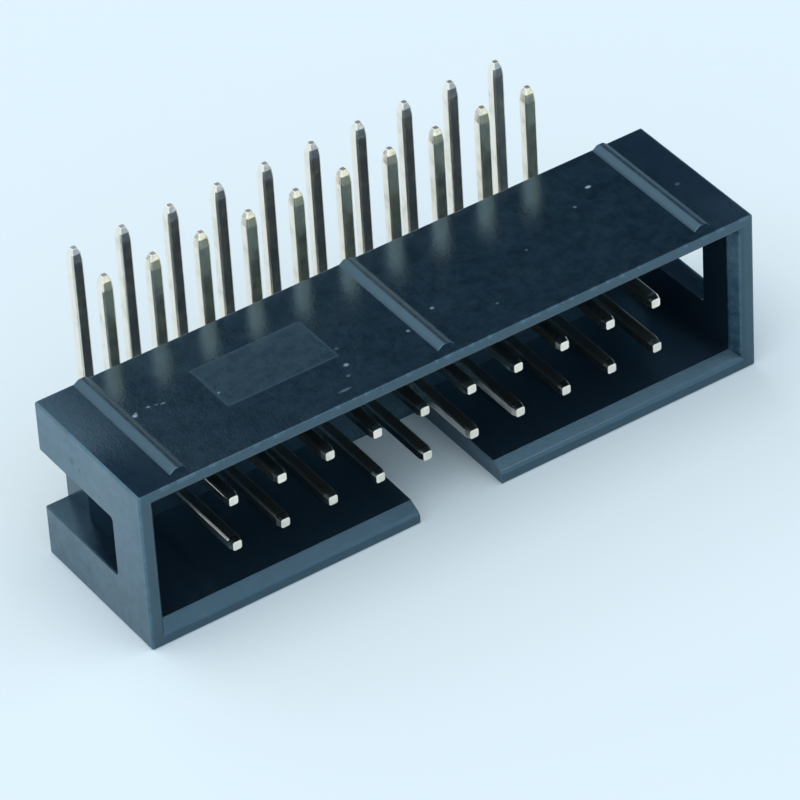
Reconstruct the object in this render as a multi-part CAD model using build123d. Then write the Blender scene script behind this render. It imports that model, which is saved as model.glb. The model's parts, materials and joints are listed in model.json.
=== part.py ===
"""Right-angle shrouded box header, 2 x 10 contacts on a 2.54 mm grid.

The part lies on its keyed long wall. +X runs along the rows of contacts, +Y points from the
open rim to the solder tails, and +Z points up, from the keyed wall to the wall that faces the
circuit board. The origin is in the middle of the whole part's footprint, on the resting face.
All lengths are in millimetres.
"""
from build123d import *
import os

# Contact grid
pitch = 2.54                  # between neighbours in a row, and between the two rows
positions = 10                # contacts in each row

# Contact wire
pin_width = 0.60              # square wire, across its flats
pin_edge_flat = 0.09          # flat along each long edge of the wire
mating_tip_width = 0.46       # blunt end of the mating tip
mating_tip_taper = 0.30       # length of the taper behind it
tail_tip_width = 0.26         # blunt end of the solder tail
tail_tip_taper = 0.70
tail_shoulder_width = 0.50    # the taper is steep up to here and slight from here on
tail_shoulder_drop = 0.26     # from the blunt end down to the shoulder
bend_radius = 0.80            # on the centre line of the wire
tip_recess = 0.60             # mating tips stand this far inside the rim
tail_reach = 3.35             # solder tails stand this far above the seat on the board
tail_setback = 1.75           # from the back of the housing to the nearer row of tails

# Housing
end_margin = 5.07             # from the last contact to the outside of the end wall
housing_height = 8.60
cavity_depth = 6.70           # from the rim to the face of the base block
base_thickness = 1.85         # block that holds the contacts
outer_edge_radius = 0.10

# Walls are thinner at the rim than at the base block, so that the moulding releases
long_wall = 0.93
long_wall_root = 1.05
end_wall = 1.00
end_wall_root = 1.20

# Lead-in round the inside of the rim, and the round that joins it to the rim's front
lead_in_width = 0.36
lead_in_depth = 0.70
lead_in_round = 0.32

# Key slot in the lower long wall, open at the rim and ending at the base block
key_slot_width = 4.50

# Notch in each end wall, open at the back
notch_height = 3.32
notch_front = 2.47            # from the rim to the closed end of the notch
notch_corner_radius = 0.20

# Standoff ribs on the upper long wall, which seat on the circuit board
rib_base_width = 0.88
rib_top_width = 0.32
rib_height = 0.20
rib_front_gap = 0.55          # from the rim to the front end of a rib
rib_end_inset = 2.42          # from the end of the housing to the middle of an outer rib

# Raised matt pad on the upper long wall
pad_length = 5.85
pad_width = 3.20
pad_height = 0.04
pad_corner_radius = 0.20
pad_end_inset = 9.48          # from the end of the housing to the middle of the pad
pad_rim_inset = 4.53          # from the rim to the middle of the pad

# Cutting tools run past the faces that they open
cut_overrun = 0.50

# Sizes that follow
row_span = (positions - 1) * pitch
housing_length = row_span + 2 * end_margin
housing_depth = cavity_depth + base_thickness
overall_depth = housing_depth + tail_setback + pitch + pin_width / 2
rim_y = -overall_depth / 2
base_y = rim_y + cavity_depth
back_y = rim_y + housing_depth
seat_z = housing_height + rib_height
lower_row_z = (housing_height - pitch) / 2
upper_row_z = lower_row_z + pitch
tail_end_z = seat_z + tail_reach


def facing_back(y):
    """Plane across the contacts at depth y, seen from the back: its x is -X and its y is +Z."""
    return Plane(origin=(0, y, 0), x_dir=(-1, 0, 0), z_dir=(0, 1, 0))


def mouth(y, end, wall):
    """Outline of the cavity at depth y, inside end walls and long walls of the given thickness."""
    outline = Rectangle(housing_length - 2 * end, housing_height - 2 * wall)
    return facing_back(y) * Pos(0, housing_height / 2) * outline


def outer_edges(block):
    """The twelve edges of the housing's outside, before its ends and long walls are cut."""
    ends = block.edges().group_by(Axis.X)
    rows = block.edges().filter_by(Axis.X).group_by(Axis.Z)
    return ends[0] + ends[-1] + rows[0] + rows[-1]


def hollow_block():
    """Block with a rounded lead-in at its mouth, its outer edges broken, and the drafted cavity."""
    throat = mouth(rim_y + lead_in_depth, end_wall, long_wall)
    flare = mouth(rim_y, end_wall - lead_in_width, long_wall - lead_in_width)
    block = Pos(0, rim_y + housing_depth / 2, housing_height / 2) * Box(
        housing_length, housing_depth, housing_height
    )
    block -= loft([throat, flare], ruled=True)
    rim = block.faces().sort_by(Axis.Y)[0]
    block = fillet(rim.inner_wires()[0].edges(), lead_in_round)
    block = fillet(outer_edges(block), outer_edge_radius)
    return block - loft([mouth(base_y, end_wall_root, long_wall_root), throat], ruled=True)


def key_slot():
    """Slot for the socket's polarising key, through the lower long wall."""
    length = cavity_depth + cut_overrun
    height = long_wall_root + 2 * cut_overrun
    centre = Pos(0, base_y - length / 2, long_wall_root + cut_overrun - height / 2)
    return centre * Box(key_slot_width, length, height)


def end_notch(side):
    """Notch through the end wall on one side (-1 or 1), with rounded closed corners."""
    length = housing_depth - notch_front + cut_overrun
    outline = Rectangle(length, notch_height)
    closed_corners = outline.vertices().sort_by(Axis.X)[:2]
    outline = fillet(closed_corners, notch_corner_radius)
    centre = (
        housing_length / 2 - end_wall_root,
        rim_y + notch_front + length / 2,
        housing_height / 2,
    )
    inner_face = Plane(origin=centre, x_dir=(0, 1, 0), z_dir=(1, 0, 0))
    cutter = extrude(inner_face * outline, end_wall_root + cut_overrun)
    return cutter if side > 0 else mirror(cutter, about=Plane.YZ)


def contact_holes():
    """Square holes through the base block. The wire is pressed in, so they are its own size."""
    depth = base_thickness + 2 * cut_overrun
    hole = Box(pin_width, pin_width, depth)
    middle = facing_back(base_y + base_thickness / 2) * Pos(0, housing_height / 2)
    return [middle * place * hole for place in GridLocations(pitch, pitch, positions, 2)]


def standoff_rib(x):
    """Rib of trapezoid section along the upper wall, from near the rim to the back."""
    section = Polygon(
        (-rib_base_width / 2, 0),
        (rib_base_width / 2, 0),
        (rib_top_width / 2, rib_height),
        (-rib_top_width / 2, rib_height),
        align=None,
    )
    back_end = (x, back_y - outer_edge_radius, housing_height)
    back = Plane(origin=back_end, x_dir=(1, 0, 0), z_dir=(0, -1, 0))
    return extrude(back * section, housing_depth - outer_edge_radius - rib_front_gap)


def label_pad():
    """Low plateau on the upper wall, left of the middle."""
    x = pad_end_inset - housing_length / 2
    outline = Pos(x, rim_y + pad_rim_inset, housing_height) * RectangleRounded(
        pad_length, pad_width, pad_corner_radius
    )
    return extrude(outline, pad_height)


def make_housing():
    """One-piece moulded housing."""
    housing = hollow_block() - key_slot()
    for side in (-1, 1):
        housing -= end_notch(side)
    housing -= contact_holes()
    outer_rib_x = housing_length / 2 - rib_end_inset
    for x in (-outer_rib_x, 0, outer_rib_x):
        housing += standoff_rib(x)
    housing += label_pad()
    return housing


def wire_section(plane, width):
    """Square section with a flat on each corner, in the wire's own proportions."""
    flat = pin_edge_flat * width / pin_width
    square = Rectangle(width, width)
    return plane * chamfer(square.vertices(), flat)


def make_contact(x, row_z, tail_y):
    """Contact bent from square wire: mating tip, leg through the base block, bend, solder tail."""
    tip = Plane(origin=(x, rim_y + tip_recess, row_z), x_dir=(1, 0, 0), z_dir=(0, 1, 0))
    leg_start = tip.offset(mating_tip_taper)
    tail = Plane(origin=(x, tail_y, tail_end_z), x_dir=(1, 0, 0), z_dir=(0, 0, 1))
    tail_start = tail.offset(-tail_tip_taper)
    corner = (x, tail_y, row_z)
    path = FilletPolyline(leg_start.origin, corner, tail_start.origin, radius=bend_radius)
    leg_section = wire_section(leg_start, pin_width)
    wire = sweep(leg_section, path=path)
    mating_tip = loft([wire_section(tip, mating_tip_width), leg_section], ruled=True)
    shoulder = tail.offset(-tail_shoulder_drop)
    tail_sections = [
        wire_section(tail_start, pin_width),
        wire_section(shoulder, tail_shoulder_width),
        wire_section(tail, tail_tip_width),
    ]
    return wire + mating_tip + loft(tail_sections, ruled=True)


def make_contacts():
    """Odd contacts in the row by the key slot, even ones above them, counted along +X."""
    near_tail_y = back_y + tail_setback
    far_tail_y = near_tail_y + pitch
    contacts = {}
    for position in range(positions):
        x = position * pitch - row_span / 2
        contacts[f"contact_{2 * position + 1:02d}"] = make_contact(x, lower_row_z, far_tail_y)
        contacts[f"contact_{2 * position + 2:02d}"] = make_contact(x, upper_row_z, near_tail_y)
    return contacts


parts = {"housing": make_housing(), **make_contacts()}

os.makedirs("parts", exist_ok=True)
for name, solid in parts.items():
    export_step(solid, f"parts/{name}.step")
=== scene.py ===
"""Angled box header with 2 rows of 10 contacts: its finishes, the light and the camera.

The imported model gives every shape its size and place. This script rounds the edges as
the mould and the wire drawing leave them, gives each surface its finish, and adds the
marks that are too small for the solids. X runs along the rows, Y from the mouth to the
tails and Z up. The scene is in metres, and places on the part are in millimetres.
"""
import json
from math import cos, pi, radians, sin

import bpy
from mathutils import Matrix, Vector

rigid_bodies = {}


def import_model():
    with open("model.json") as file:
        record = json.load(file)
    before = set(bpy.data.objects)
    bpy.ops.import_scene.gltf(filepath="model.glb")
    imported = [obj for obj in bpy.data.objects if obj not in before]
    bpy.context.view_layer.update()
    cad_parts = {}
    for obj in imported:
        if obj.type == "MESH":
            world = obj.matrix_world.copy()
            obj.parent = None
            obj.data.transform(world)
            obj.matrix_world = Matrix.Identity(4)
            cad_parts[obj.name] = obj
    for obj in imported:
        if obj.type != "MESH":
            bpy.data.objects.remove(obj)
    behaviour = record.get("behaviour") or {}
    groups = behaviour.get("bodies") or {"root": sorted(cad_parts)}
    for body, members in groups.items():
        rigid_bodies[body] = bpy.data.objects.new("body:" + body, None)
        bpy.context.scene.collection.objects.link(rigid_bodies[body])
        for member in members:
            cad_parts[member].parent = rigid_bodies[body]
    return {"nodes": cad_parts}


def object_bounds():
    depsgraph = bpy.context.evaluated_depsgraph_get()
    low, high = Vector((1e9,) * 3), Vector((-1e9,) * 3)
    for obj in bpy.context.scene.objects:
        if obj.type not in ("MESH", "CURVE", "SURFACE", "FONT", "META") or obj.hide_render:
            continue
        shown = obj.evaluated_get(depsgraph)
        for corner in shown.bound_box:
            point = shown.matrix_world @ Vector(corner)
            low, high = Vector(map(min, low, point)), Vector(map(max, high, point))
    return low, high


for leftover in list(bpy.data.objects):
    bpy.data.objects.remove(leftover)

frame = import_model()
nodes = frame["nodes"]
cad_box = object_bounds()

MM = 0.001

# The photograph's view: where the camera looks from, how far off and how narrowly
VIEW_TURN = radians(32.187)
VIEW_HEIGHT = radians(38.493)
VIEW_ROLL = radians(3.587)
VIEW_DISTANCE = 269.284 * MM
VIEW_AIM = Vector((-0.268, -2.3345, 3.4355)) * MM
LENS = 269.018
SENSOR = 36.0
NEAREST = 1 * MM
FARTHEST = 10.0

# Floor and lamp
FLOOR_COLOUR = (0.765, 0.826, 0.847)
FLOOR_HALF = 1.5
ROUGH_FLOOR = 0.9
FLOOR_SHEEN = 0.1
LAMP_COLOUR = (1.0, 0.91, 0.79)
LAMP_PLACE = Vector((-40.0, 0.0, 520.0)) * MM
LAMP_SIZE = 500 * MM
LAMP_POWER = 0.87

# Room: a bright low band all round, a bright front above it, a dark back, and a bright screen
# at the back left. The edges are parts of a line of sight one long: how far it rises (band and
# front heights), how far it goes to the back (front) and how far towards the screen's middle.
BAND_COLOUR = (0.73, 0.95, 1.10)
BAND_EDGES = (0.08, 0.26)
ROOM_COLOUR = (0.022, 0.046, 0.074)
FRONT_LOW_COLOUR = (0.84, 1.06, 1.22)
FRONT_HIGH_COLOUR = (0.87, 1.01, 1.14)
FRONT_HEIGHTS = (0.60, 0.76)
FRONT_EDGES = (0.25, -0.10)
SCREEN_COLOUR = (0.98, 1.12, 1.25)
SCREEN_FACING = Vector((-0.45, 0.66, 0.60)).normalized()
SCREEN_EDGES = (0.63, 0.81)

# Colours of the plastic and the tin
PLASTIC_DARK = (0.0030, 0.0070, 0.0120)
PLASTIC_LIGHT = (0.0100, 0.0220, 0.0340)
PLASTIC_INSIDE = (0.007, 0.015, 0.024)
PLASTIC_WORN = (0.009, 0.020, 0.033)
# Painted reflection: a sheen painted on the end faces, the key slot's walls and the lead-in, from
# the first colour to the second
PAINTED_SHEEN_LOW = (0.008, 0.024, 0.038)
PAINTED_SHEEN_HIGH = (0.056, 0.100, 0.134)
PLASTIC_PAD = (0.001, 0.006, 0.014)
PLASTIC_PAD_PALE = (0.004, 0.016, 0.028)
PLASTIC_SCUFF = (0.26, 0.32, 0.37)
# Painted shade in the small pits of the left end face
PLASTIC_PIT_SHADE = (0.004, 0.008, 0.012)
# Painted highlight: glints painted along the rim's top edge
PLASTIC_EDGE_GLINT = (0.036, 0.064, 0.088)
PLASTIC_TINT = (0.47, 0.79, 0.98)
TIN_BRIGHT = (1.00, 0.91, 0.80)
TIN_DULL = (0.66, 0.62, 0.48)
# Painted shade on the legs inside the cavity
TIN_SHADED = (0.36, 0.34, 0.30)
# Painted reflection (the first) and painted shade (the second) on the tails' fronts
TIN_FRONT_REFLECTION = (0.99, 0.82, 0.55)
TIN_FRONT_SHADE = (0.44, 0.41, 0.40)

# Their roughness, which changes from patch to patch where it has two values
ROUGH_PLASTIC = (0.14, 0.21)
ROUGH_END = 0.30
ROUGH_INSIDE = 0.22
ROUGH_PAD = (0.30, 0.36)
ROUGH_PAD_LINE = 0.42
ROUGH_RIM = 0.26
ROUGH_SCUFF = 0.60
ROUGH_RIB = (0.34, 0.44)
ROUGH_TIN = (0.09, 0.20)
ROUGH_TAIL_FRONT = 0.26
ROUGH_SHADED = 0.30
ROUGH_TAIL_END = 0.34

# How strongly the plastic mirrors, and how high its grain and the wire's streaks stand
PLASTIC_IOR = 1.65
PLASTIC_SHEEN = 1.0
GRAIN_STRENGTH = 0.28
GRAIN_HEIGHT = 0.02 * MM
STREAK_STRENGTH = 0.3
STREAK_HEIGHT = 0.01 * MM

# Noise patterns: how many bumps to the millimetre, how many finer layers, and how strong they are
CLOUDS = (0.35, 4.0, 0.6)
BLOTCHES = (1.8, 5.0, 0.7)
# The third pattern scatters the painted glints along the rim's top edge
EDGE_GLINTS = (2.6, 3.0, 0.6)
GRAIN = (9.0, 3.0, 0.6)
STREAKS = (14.0, 3.0, 0.6)
STAINS = (1.1, 5.0, 0.6)
PATCHES = (2.2, 4.0, 0.7)

# The noise values between which a pattern goes from one finish to the other
SPAN = (0.30, 0.70)
BLOTCH_SPAN = (0.25, 0.75)
EDGE_GLINT_SPAN = (0.46, 0.70)
STAIN_SPAN = (0.45, 0.85)

# What coordinates are multiplied by to draw noise out: the painted glints across the rim's edge,
# and the streaks along the wire
EDGE_GLINT_STRETCH = 0.3
STREAK_STRETCH = 0.03

# How much painted sheen (painted reflection) the end faces, the key slot and the lead-in get with
# height and with the blotches, and how worn the wall's ends are
SHEEN_HEIGHTS = (0.5, 8.0)
SHEEN_WITH_HEIGHT = 0.45
SHEEN_WITH_BLOTCHES = 0.55
END_WEAR = 0.6

# Painted shade on the tails' fronts, over their painted reflection: below these heights on the
# near ones, and more or less in patches
FRONT_SHADE_HEIGHTS = (11.0, 9.6)
FRONT_SHADE_NEAR = 0.30
FRONT_SHADE_PATCHES = 0.6

# Places on the part, in millimetres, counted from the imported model's box
HALF_LENGTH = cad_box[1][0] / MM
RIM_Y = cad_box[0][1] / MM
TAIL_END_Z = cad_box[1][2] / MM
TOP_Z = 8.60
MIDDLE_Z = TOP_Z / 2
OUTER_RIB_X = HALF_LENGTH - 2.42
RIB_X = (-OUTER_RIB_X, 0.0, OUTER_RIB_X)
RIB_HALF = 0.44
RIB_FRONT_Y = RIM_Y + 0.55
RIB_FRONT_ROUND = 0.14
RIB_BACK_Y = RIM_Y + 8.45
RIB_FADE = 0.01
PAD_MIDDLE = (9.48 - HALF_LENGTH, RIM_Y + 4.53)
PAD_HALF = (2.925, 1.60)

# How far a rib's round crest and front end lean, for each millimetre up
RIB_SLOPE = 0.48

# The ends of the upper wall are a little warped: up at the rim and down at the back
WARP_FROM = HALF_LENGTH - 2.90
WARP_DEPTHS = (-6.0, -1.0)
WARP = 0.014

# The housing's zones. In each, a measure of place brings the zone's finish in, from its first
# value to its second: x, y or z, across (how far from the middle along X), off_middle (how far
# above or below the middle) and past_pad (how far outside the pad's edge).
HOUSING_ZONES = {
    "cavity": (
        ("y", RIM_Y + 0.68, RIM_Y + 0.90),
        ("y", 0.5, 0.3),
        ("across", HALF_LENGTH - 0.70, HALF_LENGTH - 0.90),
        ("off_middle", 3.6, 3.4),
    ),
    "lead_in": (
        ("y", RIM_Y + 0.76, RIM_Y + 0.66),
        ("across", HALF_LENGTH - 1.05, HALF_LENGTH - 0.95),
        ("across", HALF_LENGTH - 0.60, HALF_LENGTH - 0.70),
        ("off_middle", 3.5, 3.3),
    ),
    "key_slot": (("across", 2.28, 2.27), ("z", 1.12, 1.08), ("y", 0.2, 0.1)),
    "end_face": (("across", HALF_LENGTH - 0.15, HALF_LENGTH - 0.05),),
    "wall_end": (
        ("across", HALF_LENGTH - 2.70, HALF_LENGTH - 1.10),
        ("z", TOP_Z - 0.60, TOP_Z - 0.20),
    ),
    "pad": (("z", TOP_Z - 0.02, TOP_Z), ("past_pad", 0.03, 0.0)),
    "pad_line": (("z", TOP_Z - 0.02, TOP_Z), ("past_pad", 0.03, 0.0), ("past_pad", -0.18, -0.06)),
    "rim": (("y", RIM_Y + 0.15, RIM_Y + 0.10),),
    "rim_edge": (("y", RIM_Y + 0.15, RIM_Y + 0.06), ("z", TOP_Z - 0.20, TOP_Z - 0.08)),
    "ribs": (
        ("z", TOP_Z + RIB_FADE, TOP_Z + 2 * RIB_FADE),
        ("y", RIB_FRONT_Y + RIB_FADE, RIB_FRONT_Y + 2 * RIB_FADE),
        ("y", RIB_BACK_Y - RIB_FADE, RIB_BACK_Y - 2 * RIB_FADE),
    ),
}

# The contacts' zones, where facing_x and facing_y say which way the surface faces
CONTACT_ZONES = {
    "leg": (("y", RIM_Y + 0.92, RIM_Y + 1.05), ("y", 0.6, 0.4)),
    # Faces towards the left near the key slot and in the left column, which catch light through
    # the openings, are left out of the legs' painted shade
    "lit_by_slot": (("across", 5.6, 5.0), ("facing_x", -0.6, -0.9)),
    "lit_by_notch": (("x", -10.8, -11.0), ("facing_x", -0.6, -0.9)),
    "near_tail": (("y", 2.9, 3.1), ("z", 4.9, 5.1)),
    "far_tail": (("y", 5.4, 5.6),),
    "tail_end": (("z", TAIL_END_Z - 0.04, TAIL_END_Z - 0.02),),
    "front": (("facing_y", -0.5, -0.9),),
}

# Small pale scuffs on the upper wall: where, how long along X and along Y, and how strong
SCUFFS = (
    (-13.52, -1.62, 0.12, 0.10, 1.0),
    (-13.40, -1.50, 0.07, 0.07, 0.5),
    (-12.72, -1.44, 0.09, 0.07, 0.5),
    (-12.35, -1.52, 0.10, 0.05, 0.2),
    (-12.06, -1.62, 0.12, 0.06, 0.4),
    (-9.75, -2.55, 0.07, 0.07, 0.5),
    (-5.24, -5.77, 0.32, 0.08, 0.25),
    (-4.20, -4.32, 0.12, 0.10, 0.7),
    (-4.55, -5.02, 0.10, 0.08, 0.25),
    (-3.90, -3.10, 0.10, 0.08, 0.2),
    (-0.67, -4.00, 0.09, 0.09, 0.5),
    (1.11, -3.29, 0.10, 0.08, 0.6),
    (3.60, -4.80, 0.08, 0.07, 0.2),
    (6.90, -2.40, 0.08, 0.07, 0.2),
    (10.50, -1.13, 0.09, 0.08, 0.35),
    (11.86, -0.26, 0.14, 0.09, 1.0),
    (15.20, -2.60, 0.12, 0.10, 0.2),
)

# Small pits in the left end face, drawn as dark spots of painted shade: where, and how long along
# Y and along Z
PITS = (
    (-0.92, 7.08, 0.16, 0.20),
    (-1.57, 6.99, 0.10, 0.13),
    (-1.45, 1.37, 0.15, 0.13),
)

# How far the scuffs and pits reach off their face, and the shares of their half lengths at
# which they start and are full
SPOT_REACH = 1.0
SPOT_EDGES = (1.5, 0.3)

# Edges: how close points are joined, how flat faces are made one, which edges are rounded, and
# by how much on the housing and on the contacts
JOIN_DISTANCE = 0.0005 * MM
FLAT_BEND = radians(0.5)
EDGE_BEND = radians(30)
EDGE_SEGMENTS = 3
HOUSING_EDGE = 0.05 * MM
CONTACT_EDGE = 0.02 * MM


def aim(thing, place, target, roll=0.0):
    """Puts a camera or a lamp at place and turns it to look at target."""
    turn = (target - place).to_track_quat("-Z", "Y").to_matrix()
    turn = turn @ Matrix.Rotation(-roll, 3, "Z")
    thing.matrix_world = Matrix.Translation(place) @ turn.to_4x4()


def make_camera():
    """The camera at the photograph's viewing angle."""
    data = bpy.data.cameras.new("camera")
    data.lens = LENS
    data.sensor_width = SENSOR
    data.clip_start = NEAREST
    data.clip_end = FARTHEST
    camera = bpy.data.objects.new("camera", data)
    bpy.context.collection.objects.link(camera)
    ahead = Vector((
        sin(VIEW_TURN) * cos(VIEW_HEIGHT),
        cos(VIEW_TURN) * cos(VIEW_HEIGHT),
        -sin(VIEW_HEIGHT),
    ))
    aim(camera, VIEW_AIM - ahead * VIEW_DISTANCE, VIEW_AIM, VIEW_ROLL)
    bpy.context.scene.camera = camera


def opaque(colour):
    """A colour with full alpha, as colour sockets take it, or another node's output as it is."""
    return (*colour, 1.0) if isinstance(colour, tuple) else colour


class Nodes:
    """A short way to add shader nodes to one material or world and to join them."""

    def __init__(self, owner):
        owner.use_nodes = True
        self.tree = owner.node_tree
        self.tree.nodes.clear()

    def add(self, kind, settings=None, **inputs):
        """A node of that kind, with its properties set and its inputs set or linked."""
        node = self.tree.nodes.new("ShaderNode" + kind)
        for name, value in (settings or {}).items():
            setattr(node, name, value)
        for name, value in inputs.items():
            self.give(node, name.replace("_", " "), value)
        return node

    def give(self, node, name, value):
        """Sets an input by name or number, or links it if value is another node's output."""
        socket = node.inputs[name]
        if isinstance(value, bpy.types.NodeSocket):
            self.tree.links.new(value, socket)
        else:
            socket.default_value = value

    def operate(self, kind, operation, *values):
        """The node that does one operation on one or two numbers or vectors."""
        node = self.add(kind, {"operation": operation})
        for number, value in enumerate(values):
            self.give(node, number, value)
        return node

    def math(self, operation, *values):
        """The result of one operation on one or two numbers."""
        return self.operate("Math", operation, *values).outputs[0]

    def minus(self, first, second):
        """The first number less the second."""
        return self.math("SUBTRACT", first, second)

    def gap(self, value, middle):
        """How far a number is from the middle, on either side."""
        return self.math("ABSOLUTE", self.minus(value, middle))

    def times(self, *factors):
        """The product of several numbers."""
        product = factors[0]
        for factor in factors[1:]:
            product = self.math("MULTIPLY", product, factor)
        return product

    def most(self, *values):
        """The greatest of several numbers."""
        greatest = values[0]
        for value in values[1:]:
            greatest = self.math("MAXIMUM", value, greatest)
        return greatest

    def climb(self, value, start, end, low=0.0, high=1.0):
        """A smooth change from low to high while value goes from start to end."""
        node = self.add("MapRange", {"interpolation_type": "SMOOTHSTEP"}, Value=value,
                        From_Min=start, From_Max=end, To_Min=low, To_Max=high)
        return node.outputs[0]

    def mix(self, kind, sockets, output, share, first, second):
        """The first value, with that share of it changed for the second."""
        node = self.add("Mix", {"data_type": kind})
        for socket, value in zip(sockets, (share, first, second)):
            self.give(node, socket, value)
        return node.outputs[output]

    def colours(self, share, first, second):
        """The first colour, with that share of it changed for the second."""
        return self.mix("RGBA", (0, 6, 7), 2, share, opaque(first), opaque(second))

    def numbers(self, share, first, second):
        """The first number, with that share of it changed for the second."""
        return self.mix("FLOAT", (0, 2, 3), 0, share, first, second)

    def directions(self, share, first, second):
        """The first direction, with that share of it changed for the second."""
        return self.mix("VECTOR", (0, 4, 5), 1, share, first, second)

    def noise(self, point, pattern):
        """Smooth noise from 0 to 1 in one of the patterns."""
        scale, detail, roughness = pattern
        node = self.add("TexNoise", Vector=point, Scale=scale, Detail=detail, Roughness=roughness)
        return node.outputs["Fac"]

    def stretched(self, point, sizes):
        """The point with each of its coordinates multiplied by a number of its own."""
        return self.operate("VectorMath", "MULTIPLY", point, sizes).outputs[0]

    def spot(self, point, place, sizes):
        """One in the middle of an oval with these half lengths, fading to zero round it."""
        step = self.operate("VectorMath", "SUBTRACT", point, place).outputs[0]
        oval = self.stretched(step, [1 / size for size in sizes])
        reach = self.operate("VectorMath", "LENGTH", oval)
        return self.climb(reach.outputs["Value"], *SPOT_EDGES)

    def surface_point(self):
        """The point on the surface in millimetres, in the part's own frame."""
        place = self.add("TexCoord").outputs["Object"]
        scaled = self.operate("VectorMath", "SCALE", place)
        self.give(scaled, "Scale", 1 / MM)
        return scaled.outputs[0]

    def places(self, point):
        """The measures of place that every part's zones may use."""
        x, y, z = self.add("SeparateXYZ", Vector=point).outputs
        return {"x": x, "y": y, "z": z, "across": self.gap(x, 0.0)}

    def zone(self, places, limits):
        """One in a zone and zero outside it, faded by each measure between its two values."""
        return self.times(*[self.climb(places[name], *edges) for name, *edges in limits])

    def zones(self, places, named_limits):
        """All the zones of a table, by name."""
        return {name: self.zone(places, limits) for name, limits in named_limits.items()}

    def shine(self, shader):
        """Joins a shader to the material's or the world's output."""
        kind = "OutputWorld" if shader.bl_idname == "ShaderNodeBackground" else "OutputMaterial"
        self.add(kind, Surface=shader.outputs[0])


def make_stage():
    """A wide pale floor."""
    bpy.ops.mesh.primitive_plane_add(size=2 * FLOOR_HALF)
    floor = bpy.context.object
    floor.name = "floor"
    material = bpy.data.materials.new("floor_paper")
    graph = Nodes(material)
    graph.shine(graph.add("BsdfPrincipled", Base_Color=opaque(FLOOR_COLOUR),
                          Roughness=ROUGH_FLOOR, Specular_IOR_Level=FLOOR_SHEEN))
    floor.data.materials.append(material)


def make_world():
    """The room round the part, which lights it and shows in its gloss."""
    world = bpy.data.worlds.new("room")
    bpy.context.scene.world = world
    graph = Nodes(world)
    sight = graph.add("TexCoord").outputs["Generated"]
    sides = graph.add("SeparateXYZ", Vector=sight).outputs
    rise = graph.climb(sides["Z"], *FRONT_HEIGHTS)
    front = graph.colours(rise, FRONT_LOW_COLOUR, FRONT_HIGH_COLOUR)
    above = graph.colours(graph.climb(sides["Y"], *FRONT_EDGES), ROOM_COLOUR, front)
    walls = graph.colours(graph.climb(sides["Z"], *BAND_EDGES), BAND_COLOUR, above)
    nearness = graph.operate("VectorMath", "DOT_PRODUCT", sight, SCREEN_FACING)
    on_screen = graph.climb(nearness.outputs["Value"], *SCREEN_EDGES)
    view = graph.colours(on_screen, walls, SCREEN_COLOUR)
    graph.shine(graph.add("Background", Color=view, Strength=1.0))


def make_lamp():
    """A square soft lamp above the part, which faces it."""
    data = bpy.data.lights.new("lamp_top", "AREA")
    data.size = LAMP_SIZE
    data.energy = LAMP_POWER
    data.color = LAMP_COLOUR
    lamp = bpy.data.objects.new("lamp_top", data)
    bpy.context.collection.objects.link(lamp)
    aim(lamp, LAMP_PLACE, Vector((0.0, 0.0, 0.0)))


def housing_places(graph, point):
    """The measures of place that the housing's zones use."""
    places = graph.places(point)
    places["off_middle"] = graph.gap(places["z"], MIDDLE_Z)
    past_sides = [
        graph.minus(graph.gap(places[axis], middle), half)
        for axis, middle, half in zip("xy", PAD_MIDDLE, PAD_HALF)
    ]
    places["past_pad"] = graph.most(*past_sides)
    return places


def scuff_marks(graph, point):
    """Where the upper wall is scuffed."""
    return graph.most(*[
        graph.times(graph.spot(point, (x, y, TOP_Z), (length, width, SPOT_REACH)), strength)
        for x, y, length, width, strength in SCUFFS
    ])


def pit_shade(graph, point):
    """Where the left end face is pitted, with painted shade in the pits."""
    return graph.most(*[
        graph.spot(point, (-HALF_LENGTH, y, z), (SPOT_REACH, length, height))
        for y, z, length, height in PITS
    ])


def plastic_colour(graph, point, places, zones, blotches):
    """Blotched black, with a painted sheen (painted reflection) that makes the end faces, the slot
    and the lead-in paler, painted glints along the rim's top edge and painted shade in the pits.
    """
    mottle = graph.climb(blotches, *SPAN)
    colour = graph.colours(graph.climb(blotches, *BLOTCH_SPAN), PLASTIC_DARK, PLASTIC_LIGHT)
    colour = graph.colours(graph.times(zones["wall_end"], END_WEAR), colour, PLASTIC_WORN)
    colour = graph.colours(zones["cavity"], colour, PLASTIC_INSIDE)
    # Painted sheen: reflection painted on the end faces, the slot's walls and the lead-in, growing
    # with height and with the blotches
    sheen_with_height = graph.climb(places["z"], *SHEEN_HEIGHTS, 0.0, SHEEN_WITH_HEIGHT)
    sheen_share = graph.math("ADD", sheen_with_height, graph.times(mottle, SHEEN_WITH_BLOTCHES))
    pale = graph.colours(sheen_share, PAINTED_SHEEN_LOW, PAINTED_SHEEN_HIGH)
    sheen_walls = graph.most(zones["end_face"], zones["key_slot"], zones["lead_in"])
    colour = graph.colours(sheen_walls, colour, pale)
    pad = graph.colours(mottle, PLASTIC_PAD, PLASTIC_PAD_PALE)
    colour = graph.colours(zones["pad"], colour, pad)
    # Painted highlight: glints painted along the rim's top edge
    across_rim = graph.stretched(point, (1.0, EDGE_GLINT_STRETCH, EDGE_GLINT_STRETCH))
    glints = graph.climb(graph.noise(across_rim, EDGE_GLINTS), *EDGE_GLINT_SPAN)
    colour = graph.colours(graph.times(zones["rim_edge"], glints), colour, PLASTIC_EDGE_GLINT)
    colour = graph.colours(zones["scuffs"], colour, PLASTIC_SCUFF)
    # Painted shade in the pits of the left end face
    return graph.colours(pit_shade(graph, point), colour, PLASTIC_PIT_SHADE)


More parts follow.
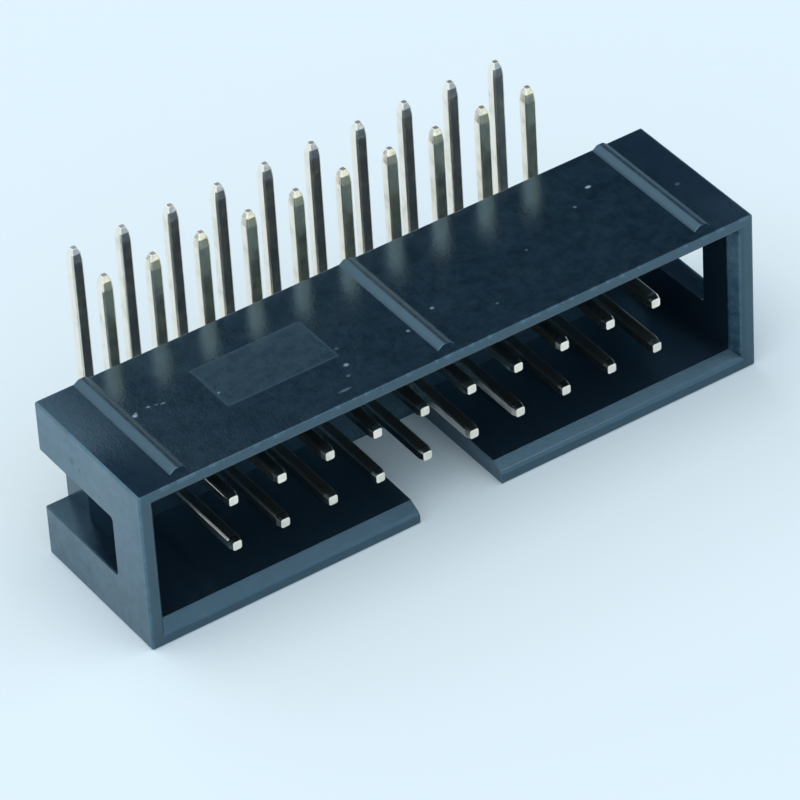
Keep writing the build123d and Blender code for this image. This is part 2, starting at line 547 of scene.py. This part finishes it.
def plastic_roughness(graph, point, zones, blotches, ribbed):
    """Glossy with faint flow clouds, and duller on the pad, the ribs and the scuffs."""
    mottle = graph.climb(blotches, *SPAN)
    roughness = graph.climb(graph.noise(point, CLOUDS), *SPAN, *ROUGH_PLASTIC)
    finishes = (
        (zones["end_face"], ROUGH_END),
        (zones["cavity"], ROUGH_INSIDE),
        (zones["pad"], graph.numbers(mottle, *ROUGH_PAD)),
        (zones["pad_line"], ROUGH_PAD_LINE),
        (zones["rim"], ROUGH_RIM),
        (zones["scuffs"], ROUGH_SCUFF),
        (ribbed, graph.numbers(mottle, *ROUGH_RIB)),
    )
    for share, finish in finishes:
        roughness = graph.numbers(share, roughness, finish)
    return roughness


def round_ribs(graph, places, on_ribs):
    """Where the ribs are, and which way the housing faces if their crests and fronts are round."""
    facing = graph.add("NewGeometry").outputs["Normal"]
    rounding = (RIB_FRONT_Y, RIB_FRONT_Y + RIB_FRONT_ROUND)
    forward = graph.climb(places["y"], *rounding, -RIB_SLOPE, 0.0)
    ribbed = 0.0
    for rib_x in RIB_X:
        aside = graph.minus(places["x"], rib_x)
        wave = graph.math("SINE", graph.times(aside, pi / RIB_HALF))
        away = graph.add("CombineXYZ", X=graph.times(wave, RIB_SLOPE), Y=forward, Z=1.0)
        beside = graph.climb(graph.math("ABSOLUTE", aside), RIB_HALF, RIB_HALF - RIB_FADE)
        on_rib = graph.times(beside, on_ribs)
        facing = graph.directions(on_rib, facing, away.outputs[0])
        ribbed = graph.most(ribbed, on_rib)
    return ribbed, graph.operate("VectorMath", "NORMALIZE", facing).outputs[0]


def plastic_normal(graph, point, places, blotches, facing):
    """The direction that the plastic faces, with the wall's warped ends and the fine grain."""
    along = graph.most(graph.minus(places["across"], WARP_FROM), 0.0)
    height = graph.times(along, along, graph.climb(places["y"], *WARP_DEPTHS, WARP, -WARP))
    warped = graph.add("Bump", Strength=1.0, Distance=MM, Height=height, Normal=facing)
    grain = graph.math("ADD", graph.noise(point, GRAIN), blotches)
    bump = graph.add("Bump", Strength=GRAIN_STRENGTH, Distance=GRAIN_HEIGHT, Height=grain,
                     Normal=warped.outputs[0])
    return bump.outputs[0]


def make_plastic():
    """Black moulded polyester: a bluish sheen, faint flow clouds, a fine grain and scuffs."""
    material = bpy.data.materials.new("moulded_plastic")
    graph = Nodes(material)
    point = graph.surface_point()
    places = housing_places(graph, point)
    zones = graph.zones(places, HOUSING_ZONES)
    zones["scuffs"] = scuff_marks(graph, point)
    blotches = graph.noise(point, BLOTCHES)
    ribbed, facing = round_ribs(graph, places, zones["ribs"])
    graph.shine(graph.add(
        "BsdfPrincipled",
        Base_Color=plastic_colour(graph, point, places, zones, blotches),
        Roughness=plastic_roughness(graph, point, zones, blotches, ribbed),
        Normal=plastic_normal(graph, point, places, blotches, facing),
        IOR=PLASTIC_IOR,
        Specular_IOR_Level=PLASTIC_SHEEN,
        Specular_Tint=opaque(PLASTIC_TINT),
    ))
    return material


def contact_places(graph, point):
    """The measures of place that the contacts' zones use."""
    facing = graph.add("NewGeometry").outputs["Normal"]
    facing_x, facing_y, _ = graph.add("SeparateXYZ", Vector=facing).outputs
    return {**graph.places(point), "facing_x": facing_x, "facing_y": facing_y}


def tin_colour(graph, point, places, zones, stains):
    """Bright with dull stains, with painted shade on the legs, and a painted reflection with
    patches of painted shade on the tails' fronts.
    """
    colour = graph.colours(graph.climb(stains, *STAIN_SPAN), TIN_BRIGHT, TIN_DULL)
    # Painted shade on the legs inside the cavity
    colour = graph.colours(zones["shaded"], colour, TIN_SHADED)
    # Painted shade on the tails' fronts: low on the near ones, all over the far ones and in
    # patches, over a painted reflection
    shade_below = graph.climb(places["z"], *FRONT_SHADE_HEIGHTS, 0.0, FRONT_SHADE_NEAR)
    front_shade = graph.most(zones["far_tail"], shade_below)
    patches = graph.noise(point, PATCHES)
    patches = graph.climb(patches, *SPAN, -FRONT_SHADE_PATCHES, FRONT_SHADE_PATCHES)
    front = graph.colours(graph.math("ADD", front_shade, patches), TIN_FRONT_REFLECTION, TIN_FRONT_SHADE)
    return graph.colours(zones["tail_front"], colour, front)


def tin_roughness(graph, zones, stains):
    """Glossy, and duller on the legs, the tails' fronts and their cut ends."""
    roughness = graph.climb(stains, *SPAN, *ROUGH_TIN)
    finishes = (
        (zones["tail_front"], ROUGH_TAIL_FRONT),
        (zones["shaded"], ROUGH_SHADED),
        (zones["tail_end"], ROUGH_TAIL_END),
    )
    for share, finish in finishes:
        roughness = graph.numbers(share, roughness, finish)
    return roughness


def drawn_streaks(graph, point, upright):
    """The direction that the wire faces, with fine streaks along each of its runs."""
    along_y = graph.noise(graph.stretched(point, (1.0, STREAK_STRETCH, 1.0)), STREAKS)
    along_z = graph.noise(graph.stretched(point, (1.0, 1.0, STREAK_STRETCH)), STREAKS)
    streaks = graph.numbers(upright, along_y, along_z)
    bump = graph.add("Bump", Strength=STREAK_STRENGTH, Distance=STREAK_HEIGHT, Height=streaks)
    return bump.outputs[0]


def make_tin():
    """Bright tin plating, streaked along each run of the wire, with painted shade on the legs and
    a patchy painted reflection and shade on the tails' fronts.
    """
    material = bpy.data.materials.new("tin_plating")
    graph = Nodes(material)
    point = graph.surface_point()
    places = contact_places(graph, point)
    zones = graph.zones(places, CONTACT_ZONES)
    upright = graph.most(zones["near_tail"], zones["far_tail"])
    # Faces lit through the key slot and the left notch keep their bright tin; the rest of the legs
    # get painted shade
    lit_through_gaps = graph.most(zones["lit_by_slot"], zones["lit_by_notch"])
    zones["shaded"] = graph.times(zones["leg"], graph.minus(1.0, lit_through_gaps))
    zones["tail_front"] = graph.times(upright, zones["front"])
    stains = graph.noise(point, STAINS)
    graph.shine(graph.add(
        "BsdfPrincipled",
        Base_Color=tin_colour(graph, point, places, zones, stains),
        Metallic=1.0,
        Roughness=tin_roughness(graph, zones, stains),
        Normal=drawn_streaks(graph, point, upright),
    ))
    return material


def soften(thing, radius):
    """Rounds the sharp edges of a CAD node, on top of its own mesh."""
    weld = thing.modifiers.new("weld", "WELD")
    weld.merge_threshold = JOIN_DISTANCE
    flats = thing.modifiers.new("flats", "DECIMATE")
    flats.decimate_type = "DISSOLVE"
    flats.angle_limit = FLAT_BEND
    edge = thing.modifiers.new("edge", "BEVEL")
    edge.width = radius
    edge.segments = EDGE_SEGMENTS
    edge.limit_method = "ANGLE"
    edge.angle_limit = EDGE_BEND
    edge.use_clamp_overlap = True
    edge.harden_normals = True


make_camera()
make_stage()
make_world()
make_lamp()

plastic = make_plastic()
tin = make_tin()
for name, node in nodes.items():
    if name == "housing":
        node.material_slots[0].material = plastic
        soften(node, HOUSING_EDGE)
    else:
        node.material_slots[0].material = tin
        soften(node, CONTACT_EDGE)

bpy.context.scene.view_settings.view_transform = "Standard"
